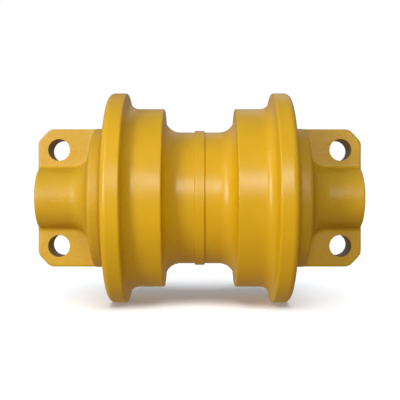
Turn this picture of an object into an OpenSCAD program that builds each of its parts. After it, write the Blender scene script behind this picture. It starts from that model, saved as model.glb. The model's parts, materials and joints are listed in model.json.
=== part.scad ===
// Track roller for a small crawler tractor: a welded two-piece flanged shell that spins on
// oil-filled bushings about a fixed shaft, held by a cast collar at each end.
// Frame: X along the shaft, Z up, origin at the middle of the shaft. The collars' mounting
// pads face +Y and the track chain runs over the treads on the -Y side.

/* [Shell] */
// Outside diameter of the guide flanges
flange_d = 209; // [206:1:216]
// Diameter of the treads that carry the chain's rails
tread_d = 178; // [172:1:180]
// Diameter of the waist between the treads
waist_d = 131.5; // [126:0.5:136]
// Width of the shell over its two end faces
shell_w = 178; // [176:1:180]
// Width between the flanges at the treads; their walls open outward from there
tread_gap = 136; // [132:1:138]
// Width of the waist groove between the two treads
groove_w = 69.5; // [64:0.5:78]
// Radius at the foot of the waist groove
groove_fillet = 15.5; // [8:0.5:16]

/* [Collars] */
// Length of the roller over both collars
overall_l = 326; // [320:2:340]
// Height of the ears, which is also the disc's diameter
collar_h = 139; // [138:1:142]
// Distance from the shaft's axis to the mounting pads
pad_y = 33; // [32:1:40]
// Outside diameter of the half-round boss over the shaft's end
boss_d = 59.8; // [58:0.2:64]
// Diameter of the mounting bolt holes
bolt_d = 22; // [18:1:24]
// Bolt spacing along the shaft
bolt_x = 284; // [276:1:288]
// Bolt spacing across the shaft
bolt_z = 97; // [94:1:100]
// Leg, along the shaft, of the cut on the ears' outer corners
ear_cut = 12; // [11:0.5:16]

/* [Shaft and bearings] */
// Diameter of the bearing journal
journal_d = 56; // [54:1:58]
// Diameter of the shaft's ends inside the collars
shaft_end_d = 44; // [42:1:46]
// Distance between the two shoulders on the shaft
shoulder_l = 156; // [156:1:157]
// Radial running clearance of the bushings
running_clearance = 0.05; // [0.02:0.01:0.08]
// Outside diameter of the bushings
bushing_d = 68; // [66:1:70]
// Diameter of the axial oil drilling
oil_d = 10; // [8:1:12]
// Diameter of the lock pins
lock_pin_d = 12; // [10:1:13]

/* [Hidden] */
$fn = 96;
eps = 0.01;

paint_color = [0.87, 0.68, 0.12];
steel_color = [0.62, 0.63, 0.65];
bronze_color = [0.72, 0.50, 0.25];
seal_color = [0.45, 0.47, 0.50];
rubber_color = [0.10, 0.10, 0.11];

// Shell: radii and stations along X of the right half
flange_r = flange_d / 2;
tread_r = tread_d / 2;
waist_r = waist_d / 2;
shell_x = shell_w / 2;
wall_slope = 9 / 40;
flange_root_x = tread_gap / 2;
flange_tip_x = flange_root_x + (flange_r - tread_r) * wall_slope;
groove_x = groove_w / 2;
flange_outer_round = 6;
flange_inner_round = 2.05;
flange_fillet = 10.25;
tread_edge_round = 1.5;
reservoir_r = 38;
recess_r = 70;
recess_depth = 3;
recess_lip = 1;

// Weld between the shell halves: a V groove filled to a low crown
weld_root_r = 52;
weld_w = 10;
weld_crown = 1.6;
weld_round = 1.2;

// Bushings: a pressed sleeve with a thrust flange at the outer end
bushing_r = bushing_d / 2;
bushing_bore_r = journal_d / 2 + running_clearance;
bushing_in_x = 34;
thrust_flange_r = 40;
thrust_flange_t = 4;
end_float = 0.3;
shoulder_x = shoulder_l / 2;
thrust_out_x = shoulder_x - end_float;
thrust_in_x = thrust_out_x - thrust_flange_t;
oil_groove_w = 6;
oil_groove_depth = 1;
bushing_mid_x = (bushing_in_x + thrust_in_x) / 2;

// Face seal: two lapped metal rings, each pressed outward by a rubber toric ring on a ramp
seal_x = 86;
seal_gap = 0.3;
seal_bore_r = 42;
seal_face_r = 53;
seal_ramp_top = [49, 3];
seal_ramp_foot = [47, 8.5];
seal_flange_t = 2.2;
toric_r = 3.2;
ramp_dir = (seal_ramp_foot - seal_ramp_top) / norm(seal_ramp_foot - seal_ramp_top);
ramp_normal = [ramp_dir[1], -ramp_dir[0]];
toric_centre = (seal_ramp_top + seal_ramp_foot) / 2 + ramp_normal * toric_r;
housing_point = toric_centre + ramp_normal * toric_r;
pocket_depth = seal_x - thrust_in_x;

// Radius of the seal housing's ramp at a distance s back from the seal's face
function housing_r(s) = housing_point[0] + (s - housing_point[1]) * ramp_dir[0] / ramp_dir[1];

// Collars: radii and stations along X of the right one
end_x = overall_l / 2;
boss_setback = 1.7;
boss_end_x = end_x - boss_setback;
disc_r = collar_h / 2;
boss_r = boss_d / 2;
hub_r = 38;
rim_x = 87.5;
rim_r = 68;
rim_taper_x = 91.5;
disc_x = 95.3;
flare_corner_x = 104.6;
flare_foot_x = flare_corner_x + (disc_r - boss_r) * wall_slope;
flare_fillet = 13.8375;
disc_round = 3.075;
boss_fillet = 3;
boss_fillet_bite = 0.01;
ear_round = 10.15;
ear_cut_slope = 21 / 20;
ear_cut_z = ear_cut * ear_cut_slope;
pad_x = 108;
pocket_floor_x = seal_x + pocket_depth;
ear_in_x = pocket_floor_x + 0.2;
bolt_r = bolt_d / 2;

// Shaft
shaft_end_r = shaft_end_d / 2;
journal_r = journal_d / 2;
shaft_recess = 1;
shaft_end_x = boss_end_x - shaft_recess;
shaft_chamfer = 2;
o_ring_x = 88;
o_ring_r = 1.25;
o_ring_groove_w = 3.6;
o_ring_groove_r = shaft_end_r - 2 * o_ring_r;
oil_r = oil_d / 2;
oil_bottom_x = -(bushing_mid_x + 6);
oil_cross_r = 2.5;
centre_drill_r = 2.5;
centre_drill_depth = 9;
centre_cone_r = 6;
centre_cone_depth = 6;

// Fill plug: a headless taper plug with a hexagon socket
plug_r = 8;
plug_in_x = 145.5;
plug_out_x = 158.5;
plug_socket_r = 4.6;
plug_socket_depth = 7;

// Lock pins: tangent to the shaft, so that each pin sits half in the shaft
lock_pin_r = lock_pin_d / 2;
lock_pin_x = 130;
lock_pin_bottom_y = -4;
lock_pin_sink = 1;

// --- Profile helpers. A corner is [radius, station, rounding] and outlines turn left.

function point_of(corner) = [corner[0], corner[1]];
function at(corners, i) = corners[(i + len(corners)) % len(corners)];
function unit(v) = v / norm(v);
function to_previous(c, i) = unit(point_of(at(c, i - 1)) - point_of(c[i]));
function to_next(c, i) = unit(point_of(at(c, i + 1)) - point_of(c[i]));
function corner_angle(c, i) = acos(to_previous(c, i) * to_next(c, i));
function cut_length(c, i) = c[i][2] / tan(corner_angle(c, i) / 2);
function cut_start(c, i) = point_of(c[i]) + to_previous(c, i) * cut_length(c, i);
function cut_end(c, i) = point_of(c[i]) + to_next(c, i) * cut_length(c, i);
function round_centre(c, i) = point_of(c[i])
    + unit(to_previous(c, i) + to_next(c, i)) * c[i][2] / sin(corner_angle(c, i) / 2);
function turns_left(c, i) = to_previous(c, i)[1] * to_next(c, i)[0]
    - to_previous(c, i)[0] * to_next(c, i)[1] > 0;
function is_round(c, i) = c[i][2] > 0;
function beyond(centre, point) = 2 * point - centre;

// Closed outline whose corners are rounded by true arcs
module rounded_outline(corners) {
    last = len(corners) - 1;
    difference() {
        union() {
            polygon([
                for (i = [0:last])
                    each is_round(corners, i)
                        ? [cut_start(corners, i), cut_end(corners, i)]
                        : [point_of(corners[i])]
            ]);
            for (i = [0:last])
                if (is_round(corners, i) && turns_left(corners, i))
                    corner_sector(corners, i);
        }
        for (i = [0:last])
            if (is_round(corners, i) && !turns_left(corners, i))
                corner_sector(corners, i);
    }
}

// Sector of a corner's rounding circle, from its centre to its two tangent points
module corner_sector(corners, i) {
    centre = round_centre(corners, i);
    intersection() {
        translate(centre) circle(r = corners[i][2]);
        polygon([
            centre,
            beyond(centre, cut_start(corners, i)),
            beyond(centre, point_of(corners[i])),
            beyond(centre, cut_end(corners, i))
        ]);
    }
}

// Turns a profile, drawn as radius by station, about the X axis
module turned() {
    rotate([0, 90, 0]) rotate_extrude() children();
}

// Cylinder along X between two stations
module bar(r, from_x, to_x) {
    translate([from_x, 0, 0]) rotate([0, 90, 0]) cylinder(r = r, h = to_x - from_x);
}

// Cylinder along Y between two levels, centred at x and z
module cross_bar(r, x, z, from_y, to_y) {
    translate([x, from_y, z]) rotate([-90, 0, 0]) cylinder(r = r, h = to_y - from_y);
}

module left_hand() {
    mirror([1, 0, 0]) children();
}

// --- Rotating pieces

// Half of the shell, from the weld to the outer face of its flange
module shell_half() {
    groove_wall_foot = [waist_r, groove_x, groove_fillet];
    turned() rounded_outline([
        [reservoir_r, 0, 0],
        [weld_root_r, 0, 0],
        [waist_r, weld_w / 2, 0],
        groove_wall_foot,
        [tread_r, groove_x, tread_edge_round],
        [tread_r, flange_root_x, flange_fillet],
        [flange_r, flange_tip_x, flange_inner_round],
        [flange_r, shell_x, flange_outer_round],
        [recess_r + recess_lip, shell_x, 0],
        [recess_r, shell_x - recess_lip, 0],
        [recess_r, shell_x - recess_depth, 0],
        [housing_r(0), seal_x, 0],
        [housing_r(pocket_depth), thrust_in_x, 0],
        [bushing_r, thrust_in_x, 0],
        [bushing_r, bushing_in_x, 0],
        [reservoir_r, bushing_in_x, 0]
    ]);
}

module shell_left() {
    color(paint_color) left_hand() shell_half();
}

module shell_right() {
    color(paint_color) shell_half();
}

// Weld metal that fills the V between the halves and stands proud of the waist
module weld_bead() {
    crown_r = waist_r + weld_crown;
    color(paint_color) turned() rounded_outline([
        [weld_root_r, 0, 0],
        [waist_r, -weld_w / 2, 0],
        [crown_r, -weld_w / 2, weld_round],
        [crown_r, weld_w / 2, weld_round],
        [waist_r, weld_w / 2, 0]
    ]);
}

module bushing() {
    color(bronze_color) difference() {
        union() {
            bar(bushing_r, bushing_in_x, thrust_out_x);
            bar(thrust_flange_r, thrust_in_x, thrust_out_x);
        }
        bar(bushing_bore_r, bushing_in_x - 1, thrust_out_x + 1);
        bar(
            bushing_bore_r + oil_groove_depth,
            bushing_mid_x - oil_groove_w / 2,
            bushing_mid_x + oil_groove_w / 2
        );
    }
}

module bushing_left() {
    left_hand() bushing();
}

module bushing_right() {
    bushing();
}

// One metal seal ring, drawn back from the seal's face, facing along side * X
module seal_ring(side) {
    face = seal_gap / 2;
    corners = [
        [seal_bore_r, face], [seal_face_r, face], [seal_face_r, seal_flange_t],
        seal_ramp_top, seal_ramp_foot, [seal_bore_r, seal_ramp_foot[1]]
    ];
    color(seal_color) turned()
        polygon([for (corner = corners) [corner[0], seal_x - side * corner[1]]]);
}

// One rubber toric ring, lying on the seal ring's ramp
module toric_ring(side) {
    color(rubber_color) turned()
        translate([toric_centre[0], seal_x - side * toric_centre[1]]) circle(r = toric_r);
}

module rotating_seal_ring_left() {
    left_hand() seal_ring(1);
}

module rotating_seal_ring_right() {
    seal_ring(1);
}

module rotating_toric_ring_left() {
    left_hand() toric_ring(1);
}

module rotating_toric_ring_right() {
    toric_ring(1);
}

// --- Fixed pieces

module shaft() {
    color(steel_color) difference() {
        union() {
            bar(journal_r, -shoulder_x, shoulder_x);
            bar(shaft_end_r, -shaft_end_x + shaft_chamfer, shaft_end_x - shaft_chamfer);
            shaft_tip();
            left_hand() shaft_tip();
        }
        o_ring_groove();
        left_hand() o_ring_groove();
        lock_pin_hole();
        left_hand() lock_pin_hole();
        bar(oil_r, oil_bottom_x, shaft_end_x + 1);
        bar(plug_r, plug_in_x, shaft_end_x + 1);
        for (x = [-bushing_mid_x, 0, bushing_mid_x])
            cross_bar(oil_cross_r, x, 0, -journal_r - 1, journal_r + 1);
        bar(centre_drill_r, -shaft_end_x - 1, -shaft_end_x + centre_drill_depth);
        translate([-shaft_end_x, 0, 0]) rotate([0, 90, 0])
            cylinder(r1 = centre_cone_r, r2 = centre_drill_r, h = centre_cone_depth);
    }
}

// Chamfered end of the shaft
module shaft_tip() {
    translate([shaft_end_x - shaft_chamfer, 0, 0]) rotate([0, 90, 0])
        cylinder(r1 = shaft_end_r, r2 = shaft_end_r - shaft_chamfer, h = shaft_chamfer);
}

module o_ring_groove() {
    difference() {
        bar(shaft_end_r + 1, o_ring_x - o_ring_groove_w / 2, o_ring_x + o_ring_groove_w / 2);
        bar(o_ring_groove_r, o_ring_x - o_ring_groove_w, o_ring_x + o_ring_groove_w);
    }
}

module lock_pin_hole() {
    cross_bar(lock_pin_r, lock_pin_x, shaft_end_r, lock_pin_bottom_y, pad_y + 1);
}

// Cast end collar: seal housing and flared disc about the shaft, boss and bolting ears
module collar() {
    color(paint_color) difference() {
        union() {
            collar_disc();
            collar_ears();
            collar_boss();
        }
        bar(shaft_end_r, shoulder_x - 1, end_x + 1);
        lock_pin_hole();
        for (side = [-1, 1])
            cross_bar(bolt_r, bolt_x / 2, side * bolt_z / 2, -1, pad_y + 1);
    }
}

// Turned part of the collar: hub, seal pocket, rim, disc and flare down to the boss
module collar_disc() {
    difference() {
        turned() rounded_outline([
            [0, shoulder_x, 0],
            [hub_r, shoulder_x, 0],
            [hub_r, pocket_floor_x, 0],
            [housing_r(pocket_depth), pocket_floor_x, 0],
            [housing_r(rim_x - seal_x), rim_x, 0],
            [rim_r, rim_x, 0],
            [rim_r, rim_taper_x, 0],
            [disc_r, disc_x, 0],
            [disc_r, flare_corner_x, disc_round],
            [boss_r, flare_foot_x, flare_fillet],
            [boss_r, boss_end_x - eps, 0],
            [0, boss_end_x - eps, 0]
        ]);
        translate([pad_x, pad_y, -disc_r]) cube([end_x, disc_r, 2 * disc_r]);
    }
}

// Ears: a flat plate between the plane through the shaft's axis and the mounting pads
module collar_ears() {
    translate([0, pad_y, 0]) rotate([90, 0, 0]) linear_extrude(pad_y) ear_outline();
}

// Boss over the shaft's end, which stops just short of the ears' ends
module collar_boss() {
    translate([ear_in_x, 0, 0]) rotate([90, 0, 90]) linear_extrude(boss_end_x - ear_in_x)
        boss_section();
}

// Section of the boss across the shaft: round, with a fillet down to the ear on each side
module boss_section() {
    fillet_z = sqrt(pow(boss_r + boss_fillet, 2) - pow(boss_fillet, 2));
    circle(r = boss_r);
    for (side = [-1, 1])
        difference() {
            polygon([[0, 0], [-boss_fillet, side * fillet_z], [0, side * fillet_z]]);
            translate([-boss_fillet, side * fillet_z]) circle(r = boss_fillet + boss_fillet_bite);
        }
}

// Outline of the ears seen along the bolts, with the outer corners cut and rounded
module ear_outline() {
    rounded_outline([
        [ear_in_x, -disc_r, 0],
        [end_x - ear_cut, -disc_r, ear_round],
        [end_x, -disc_r + ear_cut_z, ear_round],
        [end_x, disc_r - ear_cut_z, ear_round],
        [end_x - ear_cut, disc_r, ear_round],
        [ear_in_x, disc_r, 0]
    ]);
}

module collar_left() {
    left_hand() collar();
}

module collar_right() {
    collar();
}

module fixed_seal_ring_left() {
    left_hand() seal_ring(-1);
}

module fixed_seal_ring_right() {
    seal_ring(-1);
}

module fixed_toric_ring_left() {
    left_hand() toric_ring(-1);
}

module fixed_toric_ring_right() {
    toric_ring(-1);
}

// O-ring in the shaft's groove, sealing the shaft in the collar's bore
module shaft_o_ring() {
    color(rubber_color) turned()
        translate([o_ring_groove_r + o_ring_r, o_ring_x]) circle(r = o_ring_r);
}

module shaft_o_ring_left() {
    left_hand() shaft_o_ring();
}

module shaft_o_ring_right() {
    shaft_o_ring();
}

module lock_pin() {
    color(steel_color)
        cross_bar(lock_pin_r, lock_pin_x, shaft_end_r, lock_pin_bottom_y, pad_y - lock_pin_sink);
}

module lock_pin_left() {
    left_hand() lock_pin();
}

module lock_pin_right() {
    lock_pin();
}

module fill_plug() {
    color(steel_color) difference() {
        bar(plug_r, plug_in_x, plug_out_x);
        translate([plug_out_x - plug_socket_depth, 0, 0]) rotate([0, 90, 0])
            cylinder(r = plug_socket_r, h = plug_socket_depth + 1, $fn = 6);
    }
}

shell_left();
shell_right();
weld_bead();
bushing_left();
bushing_right();
rotating_seal_ring_left();
rotating_seal_ring_right();
rotating_toric_ring_left();
rotating_toric_ring_right();
shaft();
collar_left();
collar_right();
fixed_seal_ring_left();
fixed_seal_ring_right();
fixed_toric_ring_left();
fixed_toric_ring_right();
shaft_o_ring_left();
shaft_o_ring_right();
lock_pin_left();
lock_pin_right();
fill_plug();
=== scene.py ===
"""Looks of a crawler track roller: paint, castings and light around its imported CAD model."""
import json
import math
from itertools import product

import bmesh
import bpy
import numpy as np
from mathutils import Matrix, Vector


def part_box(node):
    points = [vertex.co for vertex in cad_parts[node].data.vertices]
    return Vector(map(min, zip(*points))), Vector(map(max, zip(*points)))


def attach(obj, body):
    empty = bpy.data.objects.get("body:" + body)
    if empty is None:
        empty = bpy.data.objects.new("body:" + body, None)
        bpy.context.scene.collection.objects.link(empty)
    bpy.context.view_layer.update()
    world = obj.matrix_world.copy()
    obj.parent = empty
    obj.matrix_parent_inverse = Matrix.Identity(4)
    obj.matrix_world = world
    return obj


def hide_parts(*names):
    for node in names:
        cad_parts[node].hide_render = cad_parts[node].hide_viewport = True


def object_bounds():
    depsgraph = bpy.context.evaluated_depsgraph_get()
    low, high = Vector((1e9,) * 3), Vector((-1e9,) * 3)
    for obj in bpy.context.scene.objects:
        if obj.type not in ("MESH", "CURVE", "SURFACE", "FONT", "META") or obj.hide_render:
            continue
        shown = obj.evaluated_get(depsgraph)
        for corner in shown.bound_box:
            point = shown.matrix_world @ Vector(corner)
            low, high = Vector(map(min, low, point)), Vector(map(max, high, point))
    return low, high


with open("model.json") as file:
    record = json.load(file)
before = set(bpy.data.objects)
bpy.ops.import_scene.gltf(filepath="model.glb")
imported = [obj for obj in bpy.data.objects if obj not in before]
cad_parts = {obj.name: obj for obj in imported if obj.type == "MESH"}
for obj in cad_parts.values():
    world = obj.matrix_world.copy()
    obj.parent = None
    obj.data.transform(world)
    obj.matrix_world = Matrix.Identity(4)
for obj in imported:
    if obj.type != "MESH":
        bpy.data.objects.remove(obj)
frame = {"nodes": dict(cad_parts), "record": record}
nodes = frame["nodes"]
mounts = {mount["name"]: mount for mount in frame["record"]["mounts"]}
cad_low, cad_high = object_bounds()
MM = 0.001
SIDES = ("left", "right")

# --- Camera: level with the shaft and square to it, as the roller was photographed
SENSOR_MM = 36.0
CAMERA_DISTANCE = 0.790
VIEW_WIDTH_AT_SHAFT = 0.4036
CAMERA_X, CAMERA_Z = 0.0003, -0.0021
NEAREST_SEEN, FURTHEST_SEEN = 0.05, 30.0


def make_camera():
    data = bpy.data.cameras.new("camera")
    data.sensor_width = SENSOR_MM
    data.lens = SENSOR_MM * CAMERA_DISTANCE / VIEW_WIDTH_AT_SHAFT
    data.clip_start, data.clip_end = NEAREST_SEEN, FURTHEST_SEEN
    camera = bpy.data.objects.new("camera", data)
    camera.location = (CAMERA_X, -CAMERA_DISTANCE, CAMERA_Z)
    camera.rotation_euler = (math.radians(90), 0, 0)
    bpy.context.scene.collection.objects.link(camera)
    bpy.context.scene.camera = camera


# --- Materials
NOISE_LOW, NOISE_HIGH = 0.3, 0.7
MARKS_DISTORTION, MARKS_DETAIL = 1.5, 2.0


class Shader:
    """A material with short calls that add and link its nodes."""

    def __init__(self, name):
        self.material = bpy.data.materials.new(name)
        self.material.use_nodes = True
        self.tree = self.material.node_tree
        self.surface = self.tree.nodes["Principled BSDF"]
        self.place = self.add("ShaderNodeTexCoord").outputs["Object"]

    def add(self, kind, **settings):
        node = self.tree.nodes.new(kind)
        for key, value in settings.items():
            setattr(node, key, value)
        return node

    def link(self, source, target):
        self.tree.links.new(source, target)

    def noise(self, scale, detail=3.0, roughness=0.5):
        node = self.add("ShaderNodeTexNoise")
        self.link(self.place, node.inputs["Vector"])
        node.inputs["Scale"].default_value = scale
        node.inputs["Detail"].default_value = detail
        node.inputs["Roughness"].default_value = roughness
        return node.outputs["Fac"]

    def tool_marks(self, pitch, kind):
        """Fine waves left by a lathe: BANDS along the shaft, or RINGS about it."""
        node = self.add(
            "ShaderNodeTexWave", wave_type=kind, bands_direction="X", rings_direction="X"
        )
        self.link(self.place, node.inputs["Vector"])
        # At scale 1 the node's waves are pi / 10 apart.
        node.inputs["Scale"].default_value = math.pi / (10 * pitch)
        node.inputs["Distortion"].default_value = MARKS_DISTORTION
        node.inputs["Detail"].default_value = MARKS_DETAIL
        node.inputs["Detail Scale"].default_value = MARKS_DETAIL
        return node.outputs["Fac"]

    def spread(self, noise, low, high):
        """Turns the middle of a noise into numbers between low and high."""
        node = self.add("ShaderNodeMapRange")
        self.link(noise, node.inputs["Value"])
        node.inputs["From Min"].default_value = NOISE_LOW
        node.inputs["From Max"].default_value = NOISE_HIGH
        node.inputs["To Min"].default_value = low
        node.inputs["To Max"].default_value = high
        return node.outputs["Result"]

    def spread_colour(self, noise, low, high):
        """Turns the middle of a noise into colours between low and high."""
        node = self.add("ShaderNodeValToRGB")
        self.link(noise, node.inputs["Fac"])
        first, last = node.color_ramp.elements
        first.position, first.color = NOISE_LOW, (*low, 1.0)
        last.position, last.color = NOISE_HIGH, (*high, 1.0)
        return node.outputs["Color"]

    def bump(self, height, distance, normal=None):
        node = self.add("ShaderNodeBump")
        self.link(height, node.inputs["Height"])
        node.inputs["Distance"].default_value = distance
        if normal is not None:
            self.link(normal, node.inputs["Normal"])
        return node.outputs["Normal"]


PAINT = (0.720, 0.415, 0.008)
CAST_PAINT = (0.640, 0.380, 0.013)
# Painted shade: the bolt and pin holes' walls get a darker copy of the paint, standing for the
# shade inside them.
HOLE_PAINTED_SHADE = (0.300, 0.185, 0.010)
STEEL = (0.46, 0.46, 0.47)
PLUG_STEEL = (0.12, 0.12, 0.13)
BRONZE = (0.55, 0.33, 0.14)
SEAL_IRON = (0.30, 0.31, 0.33)
RUBBER = (0.020, 0.020, 0.021)
BLOTCHES_PER_METRE, BLOTCH_DETAIL, BLOTCH_SPREAD = 18.0, 4.0, 0.05
GLOSS_PATCHES_PER_METRE, GLOSS_SPREAD = 60.0, 0.04
GRAIN_DETAIL, GRAIN_ROUGHNESS = 4.0, 0.6


def shade(colour, factor):
    return tuple(channel * factor for channel in colour)


def finish(name, colour, roughness, grain, metallic=0.0, marks=None):
    """A finish with blotches of colour, uneven gloss, a grain and, on request, tool marks.

    The grain is (size, depth) and the marks are (pitch, depth, kind), in millimetres.
    """
    s = Shader(name)
    blotches = s.noise(BLOTCHES_PER_METRE, BLOTCH_DETAIL)
    darker, lighter = shade(colour, 1 - BLOTCH_SPREAD), shade(colour, 1 + BLOTCH_SPREAD)
    s.link(s.spread_colour(blotches, darker, lighter), s.surface.inputs["Base Color"])
    patches = s.noise(GLOSS_PATCHES_PER_METRE)
    gloss = s.spread(patches, roughness - GLOSS_SPREAD, roughness + GLOSS_SPREAD)
    s.link(gloss, s.surface.inputs["Roughness"])
    grain_size, grain_depth = grain
    grains = s.noise(1 / (grain_size * MM), GRAIN_DETAIL, GRAIN_ROUGHNESS)
    normal = s.bump(grains, grain_depth * MM)
    if marks:
        pitch, depth, kind = marks
        normal = s.bump(s.tool_marks(pitch * MM, kind), depth * MM, normal)
    s.link(normal, s.surface.inputs["Normal"])
    s.surface.inputs["Metallic"].default_value = metallic
    return s.material


machined_paint = finish(
    "machined_paint", PAINT, roughness=0.31, grain=(4.0, 0.008), marks=(1.6, 0.001, "BANDS")
)
weld_paint = finish("weld_paint", PAINT, roughness=0.36, grain=(3.5, 0.10))
cast_paint = finish("cast_paint", CAST_PAINT, roughness=0.40, grain=(2.2, 0.30))
# Painted shade: darker paint for the walls of the bolt and pin holes, where shade falls.
hole_painted_shade = finish("hole_painted_shade", HOLE_PAINTED_SHADE, roughness=0.50, grain=(1.5, 0.05))
turned_steel = finish(
    "turned_steel", STEEL, roughness=0.30, grain=(1.2, 0.01), metallic=1.0,
    marks=(0.5, 0.004, "RINGS"),
)
ground_steel = finish(
    "ground_steel", STEEL, roughness=0.22, grain=(0.8, 0.006), metallic=1.0,
    marks=(0.3, 0.001, "BANDS"),
)
plug_steel = finish("plug_steel", PLUG_STEEL, roughness=0.40, grain=(0.8, 0.03), metallic=1.0)
bronze = finish(
    "bronze", BRONZE, roughness=0.32, grain=(1.0, 0.01), metallic=1.0,
    marks=(0.4, 0.003, "BANDS"),
)
seal_iron = finish("seal_iron", SEAL_IRON, roughness=0.28, grain=(0.8, 0.01), metallic=1.0)
rubber = finish("rubber", RUBBER, roughness=0.60, grain=(0.6, 0.02))


def dress(node, material):
    mesh = nodes[node].data
    mesh.materials.clear()
    mesh.materials.append(material)


dress("weld_bead", weld_paint)
dress("shaft", turned_steel)
dress("fill_plug", plug_steel)
for side in SIDES:
    dress(f"shell_{side}", machined_paint)
    dress(f"collar_{side}", cast_paint)
    dress(f"lock_pin_{side}", ground_steel)
    dress(f"bushing_{side}", bronze)
    dress(f"shaft_o_ring_{side}", rubber)
    for state in ("rotating", "fixed"):
        dress(f"{state}_seal_ring_{side}", seal_iron)
        dress(f"{state}_toric_ring_{side}", rubber)

# --- End collars: castings with soft fillets, cut by the machined faces and holes
# Sizes are in millimetres, for the right collar: X along the shaft, R out from it.
COLLAR_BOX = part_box("collar_right")
SHAFT_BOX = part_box("shaft")
HUB_X, END_X = COLLAR_BOX[0].x / MM, COLLAR_BOX[1].x / MM
DISC_R = COLLAR_BOX[1].z / MM
HUB_R, BORE_R = 38.0, 22.0
RIM_X, RIM_R, TAPER_X = 87.5, 68.0, 91.5
DISC_X, FLARE_X, FLARE_FOOT_X = 95.3, 104.6, 113.51
BOSS_R = 29.9
BOSS_END_X = SHAFT_BOX[1].x / MM + 1.0
PAD_X, PAD_Y = 108.0, mounts["mounting_bolts"]["pos_m"][1] / MM
CORNER_CUT_X, CORNER_CUT_Z, CORNER_ROUND = 12.0, 12.6, 10.15
DISC_ROUND, BOSS_END_ROUND, EAR_ROUND = 2.6, 1.6, 1.8
FLARE_FILLET, EAR_FILLET = 13.8, 3.6
POCKET_FRONT, POCKET_FLOOR = (87.0, 58.7), (98.3, 54.4)
PIN_X, PIN_Y, PIN_R = 130.0, -4.0, 6.0

# The ears are cast proud of the pads by an allowance, and the pad's cutter starts an inset from
# the disc's side of the pads. Past the casting the cutters reach on by the other lengths.
PAD_ALLOWANCE, PAD_CUT_INSET = 2.0, 1.0
PAST_END, PAST_EARS, PAST_BACK = 9.0, 90.0, 20.0
PAST_HUB, PAST_RIM, BOLT_CUT_LENGTH = 5.0, 3.0, 100.0

# The mesh's grid and segments, and the lumps that make the casting uneven
GRID = 1.25
GRID_MARGIN_LOW, GRID_MARGIN_HIGH = (2.13, 2.37, 2.21), 2.5
PROJECTIONS = 3
SLOPE_STEP, SMALLEST_SLOPE = 0.02, 1e-9
SEGMENTS = 96
SHARP_DEGREES = 40
LATTICE, LATTICE_SHIFT = 32, 500
COARSE_LUMP, COARSE_HEIGHT = 4.5, 0.07
FINE_LUMP, FINE_HEIGHT = 2.6, 0.05
LUMPS_SUNK = 0.12
SEEDS = {"left": 11, "right": 12}


def union_round(a, b, radius):
    """Distance to two bodies together, with a fillet in the corner between them."""
    corner = np.sqrt(np.maximum(radius - a, 0) ** 2 + np.maximum(radius - b, 0) ** 2)
    return np.maximum(radius, np.minimum(a, b)) - corner


def cut_round(a, b, radius):
    """Distance to what two bodies share, with its edge rounded."""
    corner = np.sqrt(np.maximum(radius + a, 0) ** 2 + np.maximum(radius + b, 0) ** 2)
    return np.minimum(-radius, np.maximum(a, b)) + corner


def polygon_distance(x, y, corners):
    """Signed distance to a closed polygon, negative inside."""
    nearest = np.full(np.shape(x), np.inf)
    inside = np.zeros(np.shape(x), dtype=bool)
    for (ax, ay), (bx, by) in zip(corners, corners[1:] + corners[:1]):
        ex, ey = bx - ax, by - ay
        wx, wy = x - ax, y - ay
        along = np.clip((wx * ex + wy * ey) / (ex * ex + ey * ey), 0, 1)
        nearest = np.minimum(nearest, (wx - ex * along) ** 2 + (wy - ey * along) ** 2)
        if ay != by:
            crossing = (ay > y) != (by > y)
            inside ^= crossing & (x < ex * (y - ay) / ey + ax)
    return np.where(inside, -1, 1) * np.sqrt(nearest)


def ear_outline_distance(x, z):
    """Ears seen along the bolts: the outline is shrunk by its corner rounding, then grown."""
    lean = math.hypot(CORNER_CUT_X, CORNER_CUT_Z)
    top = DISC_R - CORNER_ROUND
    outer = END_X - CORNER_ROUND
    cut_from_x = END_X - CORNER_CUT_X - CORNER_ROUND * (lean - CORNER_CUT_X) / CORNER_CUT_Z
    cut_to_z = DISC_R - CORNER_CUT_Z - CORNER_ROUND * (lean - CORNER_CUT_Z) / CORNER_CUT_X
    corners = [
        (DISC_X, -top), (cut_from_x, -top), (outer, -cut_to_z),
        (outer, cut_to_z), (cut_from_x, top), (DISC_X, top),
    ]
    return polygon_distance(x, z, corners) - CORNER_ROUND


def casting_distance(p):
    """Distance to the right collar before its holes are cut, negative inside."""
    x, y, z = np.moveaxis(p, -1, 0)
    r = np.hypot(y, z)
    hub = np.maximum(np.maximum(r - HUB_R, HUB_X - x), x - FLARE_X)
    rim = np.maximum(np.maximum(r - RIM_R, RIM_X - x), x - FLARE_X)
    slope = (DISC_R - RIM_R) / (DISC_X - TAPER_X)
    taper = (r - RIM_R - (x - TAPER_X) * slope) / math.hypot(1, slope)
    run, drop = FLARE_FOOT_X - FLARE_X, DISC_R - BOSS_R
    flare = ((x - FLARE_X) * drop + (r - DISC_R) * run) / math.hypot(run, drop)
    disc = np.maximum(cut_round(r - DISC_R, flare, DISC_ROUND), np.maximum(taper, RIM_X - x))
    boss = cut_round(np.maximum(r - BOSS_R, DISC_X - x), x - BOSS_END_X, BOSS_END_ROUND)
    body = union_round(np.minimum(rim, disc), boss, FLARE_FILLET)
    ears = cut_round(ear_outline_distance(x, z), -y, EAR_ROUND)
    ears = np.maximum(ears, np.maximum(y - PAD_Y - PAD_ALLOWANCE, DISC_X - x))
    body = union_round(body, ears, EAR_FILLET)
    body = np.maximum(body, np.maximum(x - END_X, np.abs(z) - DISC_R))
    beyond_pad = np.minimum(x - PAD_X, y - PAD_Y)
    return np.minimum(np.maximum(body, beyond_pad), hub)


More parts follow.
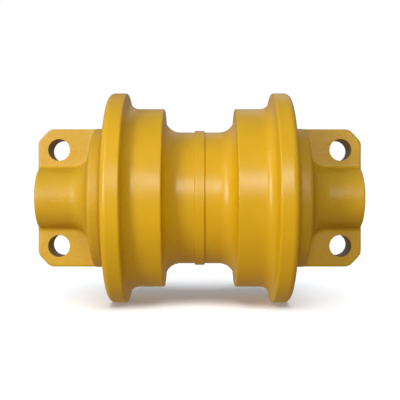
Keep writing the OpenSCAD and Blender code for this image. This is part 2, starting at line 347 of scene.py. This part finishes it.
def lumps(p, size, seed):
    """Smooth random values on a lattice, the unevenness of a sand casting."""
    lattice = np.random.default_rng(seed).uniform(-1, 1, (LATTICE, LATTICE, LATTICE))
    q = (p + LATTICE_SHIFT) / size
    base = np.floor(q).astype(int)
    f = q - base
    f = f * f * (3 - 2 * f)
    total = np.zeros(len(p))
    for corner in product((0, 1), repeat=3):
        near = np.abs(1 - np.array(corner) - f)
        i, j, k = ((base + corner) % LATTICE).T
        total += near[:, 0] * near[:, 1] * near[:, 2] * lattice[i, j, k]
    return total


def surface_net(distance, low, high, step):
    """Quad mesh of the zero level: one vertex in each grid cell that the surface crosses."""
    counts = [int(math.ceil((h - l) / step)) + 1 for l, h in zip(low, high)]
    axes = [l + step * np.arange(n) for l, n in zip(low, counts)]
    grid = np.stack(np.meshgrid(*axes, indexing="ij"), -1)
    value = distance(grid)
    solid = value < 0
    cells = tuple(n - 1 for n in counts)
    total, crossings = np.zeros((*cells, 3)), np.zeros(cells)

    def at(field, c):
        """The field at one corner of every cell."""
        return field[c[0]:c[0] + cells[0], c[1]:c[1] + cells[1], c[2]:c[2] + cells[2]]

    for a, axis in product(product((0, 1), repeat=3), range(3)):
        if a[axis]:
            continue
        b = tuple(1 if n == axis else a[n] for n in range(3))
        va, vb = at(value, a), at(value, b)
        cross = at(solid, a) != at(solid, b)
        share = np.where(cross, va / np.where(cross, va - vb, 1), 0)
        point = at(grid, a) + share[..., None] * (np.eye(3)[axis] * step)
        total += np.where(cross[..., None], point, 0)
        crossings += cross
    used = crossings > 0
    index = np.full(cells, -1)
    index[used] = np.arange(used.sum())
    vertices = total[used] / crossings[used][:, None]
    faces = []
    for axis in range(3):
        u, v = (axis + 1) % 3, (axis + 2) % 3
        front, back = [slice(1, -1)] * 3, [slice(1, -1)] * 3
        front[axis], back[axis] = slice(0, -1), slice(1, None)
        change = solid[tuple(front)].astype(int) - solid[tuple(back)].astype(int)
        for sign in (1, -1):
            at_edges = np.argwhere(change == sign)
            at_edges[:, u] += 1
            at_edges[:, v] += 1
            ring = []
            for du, dv in ((0, 0), (-1, 0), (-1, -1), (0, -1))[::-sign]:
                cell = at_edges.copy()
                cell[:, u] += du
                cell[:, v] += dv
                ring.append(index[tuple(cell.T)])
            faces.append(np.stack(ring, 1))
    return vertices, np.concatenate(faces)


def slope_of(distance, p):
    """Unit vectors that point straight out of the surface."""
    steps = np.eye(3) * SLOPE_STEP
    gradient = np.stack([distance(p + step) - distance(p - step) for step in steps], -1)
    length = np.linalg.norm(gradient, axis=-1, keepdims=True)
    return gradient / np.maximum(length, SMALLEST_SLOPE)


def lathe(profile):
    """Closed ring about the X axis from an outline of (station, radius)."""
    angles = 2 * math.pi * np.arange(SEGMENTS) / SEGMENTS
    vertices = [(x, r * math.cos(a), r * math.sin(a)) for a in angles for x, r in profile]
    n = len(profile)
    faces = []
    for s, i in product(range(SEGMENTS), range(n)):
        here, there, after = s * n, (s + 1) % SEGMENTS * n, (i + 1) % n
        faces.append((here + i, here + after, there + after, there + i))
    return vertices, faces


def rod(start, axis, radius, length):
    """Closed cylinder from a start point along X (0) or Y (1)."""
    u, v = (1, 2) if axis == 0 else (2, 0)
    vertices = []
    for end, s in product((0, length), range(SEGMENTS)):
        a = 2 * math.pi * s / SEGMENTS
        p = list(start)
        p[axis] += end
        p[u] += radius * math.cos(a)
        p[v] += radius * math.sin(a)
        vertices.append(p)
    near, far = range(SEGMENTS), range(SEGMENTS, 2 * SEGMENTS)
    faces = [(near[s - 1], near[s], far[s], far[s - 1]) for s in (*near[1:], 0)]
    faces += [tuple(near)[::-1], tuple(far)]
    return vertices, faces


def block(low, high):
    vertices = list(product(*zip(low, high)))
    faces = [(0, 1, 3, 2), (4, 6, 7, 5), (0, 4, 5, 1), (2, 3, 7, 6), (0, 2, 6, 4), (1, 5, 7, 3)]
    return vertices, faces


def make_object(name, vertices, faces, mirrored):
    """A mesh in metres from sizes in millimetres, mirrored for the left side."""
    sign = -1 if mirrored else 1
    points = np.array(vertices, dtype=float) * (sign * MM, MM, MM)
    mesh = bpy.data.meshes.new(name)
    mesh.from_pydata([tuple(p) for p in points], [], [tuple(int(i) for i in f) for f in faces])
    work = bmesh.new()
    work.from_mesh(mesh)
    bmesh.ops.recalc_face_normals(work, faces=work.faces)
    work.to_mesh(mesh)
    work.free()
    thing = bpy.data.objects.new(name, mesh)
    bpy.context.scene.collection.objects.link(thing)
    return thing


def collar_cutters():
    """Each cutter's mesh, with the finish that it leaves behind; the holes' walls get a darker
    copy of the paint, which is painted shade.
    """
    bolts = mounts["mounting_bolts"]["dims"]
    bolt_x, bolt_z = bolts["spacing_x_mm"] / 2, bolts["spacing_y_mm"] / 2
    yield machined_paint, block(
        (PAD_X + PAD_CUT_INSET, PAD_Y, -PAST_EARS),
        (END_X + PAST_END, PAD_Y + PAST_BACK, PAST_EARS),
    )
    yield turned_steel, rod((HUB_X - PAST_HUB, 0, 0), 0, BORE_R, END_X - HUB_X + 2 * PAST_HUB)
    # The pin hole's wall is left with painted shade, a darker copy of the paint.
    yield hole_painted_shade, rod((PIN_X, PIN_Y, BORE_R), 1, PIN_R, PAD_Y + PAST_BACK)
    (front_x, front_r), (floor_x, floor_r) = POCKET_FRONT, POCKET_FLOOR
    open_x = front_x - PAST_RIM
    yield cast_paint, lathe([
        (open_x, HUB_R), (floor_x, HUB_R), (floor_x, floor_r), (front_x, front_r),
        (open_x, front_r),
    ])
    for side in (-1, 1):
        bolt = (bolt_x, -PAST_BACK, side * bolt_z)
        # Each bolt hole's wall is left with painted shade, a darker copy of the paint.
        yield hole_painted_shade, rod(bolt, 1, bolts["hole_r_mm"], BOLT_CUT_LENGTH)


def casting_skin(seed):
    """The casting's surface, drawn onto its true distance and then made uneven."""
    margin_x, margin_y, margin_z = GRID_MARGIN_LOW
    low = (HUB_X - margin_x, -DISC_R - margin_y, -DISC_R - margin_z)
    high = (END_X + GRID_MARGIN_HIGH, DISC_R + GRID_MARGIN_HIGH, DISC_R + GRID_MARGIN_HIGH)
    points, faces = surface_net(casting_distance, low, high, GRID)
    for _ in range(PROJECTIONS):
        points -= casting_distance(points)[:, None] * slope_of(casting_distance, points)
    coarse = COARSE_HEIGHT * lumps(points, COARSE_LUMP, seed)
    fine = FINE_HEIGHT * lumps(points, FINE_LUMP, seed + len(SEEDS))
    height = coarse + fine - LUMPS_SUNK
    points += height[:, None] * slope_of(casting_distance, points)
    return points, faces


def make_collar(side):
    mirrored = side == "left"
    points, faces = casting_skin(SEEDS[side])
    casting = make_object(f"casting_{side}", points, faces, mirrored)
    casting.data.materials.append(cast_paint)
    cutters = []
    for n, (left_behind, (vertices, cut_faces)) in enumerate(collar_cutters()):
        cutter = make_object(f"cutter_{side}_{n}", vertices, cut_faces, mirrored)
        cutter.data.materials.append(left_behind)
        cut = casting.modifiers.new(f"cut_{n}", "BOOLEAN")
        cut.operation, cut.object, cut.solver = "DIFFERENCE", cutter, "EXACT"
        cut.material_mode = "TRANSFER"
        cutters.append(cutter)
    bpy.context.view_layer.update()
    graph = bpy.context.evaluated_depsgraph_get()
    mesh = bpy.data.meshes.new_from_object(casting.evaluated_get(graph))
    casting.modifiers.clear()
    casting.data = mesh
    for cutter in cutters:
        bpy.data.objects.remove(cutter)
    mesh.shade_smooth()
    mesh.set_sharp_from_angle(angle=math.radians(SHARP_DEGREES))
    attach(casting, "axle")
    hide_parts(f"collar_{side}")


for side in SIDES:
    make_collar(side)

# --- Stage
WHITE = (1.0, 1.0, 1.0, 1.0)
FLOOR_HALF_SIZE = 12.0
FLOOR_DARKER, FLOOR_LIGHTER = (0.855,) * 3, (0.865,) * 3
FLOOR_BLOTCHES_PER_METRE, FLOOR_ROUGHNESS = 3.0, 0.9


def make_floor():
    half, level = FLOOR_HALF_SIZE, cad_low.z
    corners = [(-half, -half), (half, -half), (half, half), (-half, half)]
    mesh = bpy.data.meshes.new("floor")
    mesh.from_pydata([(x, y, level) for x, y in corners], [], [(0, 1, 2, 3)])
    floor = bpy.data.objects.new("floor", mesh)
    bpy.context.scene.collection.objects.link(floor)
    s = Shader("floor")
    blotches = s.noise(FLOOR_BLOTCHES_PER_METRE)
    tone = s.spread_colour(blotches, FLOOR_DARKER, FLOOR_LIGHTER)
    s.link(tone, s.surface.inputs["Base Color"])
    s.surface.inputs["Roughness"].default_value = FLOOR_ROUGHNESS
    s.surface.inputs["Specular IOR Level"].default_value = 0.0
    mesh.materials.append(s.material)
    floor.visible_diffuse = False
    floor.visible_glossy = False
    return floor


def linked_only_to(lamp, floor, state):
    """Lights the floor alone (INCLUDE) or everything but the floor (EXCLUDE)."""
    receivers = bpy.data.collections.new(f"{lamp.name}_receivers")
    receivers.objects.link(floor)
    receivers.collection_objects[0].light_linking.link_state = state
    lamp.light_linking.receiver_collection = receivers


def aim(lamp, place):
    """Puts a lamp in its place, facing the middle of the roller."""
    lamp.location = place
    lamp.rotation_euler = (-Vector(place)).to_track_quat("-Z", "Y").to_euler()
    bpy.context.scene.collection.objects.link(lamp)


LAMP_DISTANCE = 1.9


def around(azimuth, elevation):
    """Place about the roller: azimuth from the camera's side, positive to the right."""
    a, e = math.radians(azimuth), math.radians(elevation)
    return (
        LAMP_DISTANCE * math.sin(a) * math.cos(e),
        -LAMP_DISTANCE * math.cos(a) * math.cos(e),
        LAMP_DISTANCE * math.sin(e),
    )


def soft_box(name, place, size, power, floor):
    data = bpy.data.lights.new(name, "AREA")
    data.shape = "RECTANGLE"
    data.size, data.size_y = size
    data.energy = power
    lamp = bpy.data.objects.new(name, data)
    aim(lamp, place)
    linked_only_to(lamp, floor, "EXCLUDE")


def floor_light(tilt, softness, strength, floor):
    """Overhead light on the floor, tilted so that the shell's shadow falls behind it."""
    data = bpy.data.lights.new("floor_light", "SUN")
    data.angle = math.radians(softness)
    data.energy = strength
    lamp = bpy.data.objects.new("floor_light", data)
    lean = math.radians(tilt)
    aim(lamp, (0, -math.sin(lean), math.cos(lean)))
    linked_only_to(lamp, floor, "INCLUDE")
    blockers = bpy.data.collections.new("floor_light_blockers")
    for node in ("shell_left", "shell_right", "weld_bead"):
        blockers.objects.link(nodes[node])
    lamp.light_linking.blocker_collection = blockers


LIFT_COLOUR = (0.80, 0.94, 1.10)


def floor_lift(strength, floor):
    """Shadowless light that keeps the roller's shadow on the floor pale and neutral."""
    data = bpy.data.lights.new("floor_lift", "SUN")
    data.energy = strength
    data.color = LIFT_COLOUR
    data.use_shadow = False
    lamp = bpy.data.objects.new("floor_lift", data)
    aim(lamp, (0, 0, 1))
    linked_only_to(lamp, floor, "INCLUDE")


ROOM_BELOW = (1.25, 0.98, 0.55, 1.0)
ROOM_WHITE_FROM = 0.15
ROOM_ON_LEFT, ROOM_ON_RIGHT = 1.35, 0.65


def make_world(strength):
    """White to the camera, and to the roller a room, warmer below and dimmer on the right."""
    world = bpy.data.worlds.new("world")
    world.use_nodes = True
    tree = world.node_tree
    background = tree.nodes["Background"]
    direction = tree.nodes.new("ShaderNodeSeparateXYZ")
    place = tree.nodes.new("ShaderNodeTexCoord")
    tree.links.new(place.outputs["Generated"], direction.inputs[0])
    height = tree.nodes.new("ShaderNodeValToRGB")
    tree.links.new(direction.outputs["Z"], height.inputs["Fac"])
    below, above = height.color_ramp.elements
    below.position, below.color = 0.0, ROOM_BELOW
    above.position, above.color = ROOM_WHITE_FROM, WHITE
    tree.links.new(height.outputs["Color"], background.inputs["Color"])
    across = tree.nodes.new("ShaderNodeMapRange")
    tree.links.new(direction.outputs["X"], across.inputs["Value"])
    across.inputs["From Min"].default_value = -1.0
    across.inputs["From Max"].default_value = 1.0
    across.inputs["To Min"].default_value = ROOM_ON_LEFT * strength
    across.inputs["To Max"].default_value = ROOM_ON_RIGHT * strength
    tree.links.new(across.outputs["Result"], background.inputs["Strength"])
    seen = tree.nodes.new("ShaderNodeBackground")
    seen.inputs["Color"].default_value = WHITE
    seen.inputs["Strength"].default_value = 1.0
    path = tree.nodes.new("ShaderNodeLightPath")
    mix = tree.nodes.new("ShaderNodeMixShader")
    tree.links.new(path.outputs["Is Camera Ray"], mix.inputs["Fac"])
    tree.links.new(background.outputs["Background"], mix.inputs[1])
    tree.links.new(seen.outputs["Background"], mix.inputs[2])
    tree.links.new(mix.outputs["Shader"], tree.nodes["World Output"].inputs["Surface"])
    bpy.context.scene.world = world


make_camera()
stage_floor = make_floor()
make_world(strength=0.29)
for name, azimuth, elevation, size, power in (
    ("key", -38, 9, (0.55, 1.1), 19.0),
    ("front", 4, 20, (0.8, 0.6), 11.0),
    ("back", 165, 40, (1.0, 1.0), 1.2),
    ("high", -40, 42, (0.7, 0.7), 3.0),
):
    soft_box(name, around(azimuth, elevation), size, power, stage_floor)
floor_light(tilt=34, softness=42, strength=3.0, floor=stage_floor)
floor_lift(strength=0.60, floor=stage_floor)
bpy.context.scene.view_settings.view_transform = "Standard"
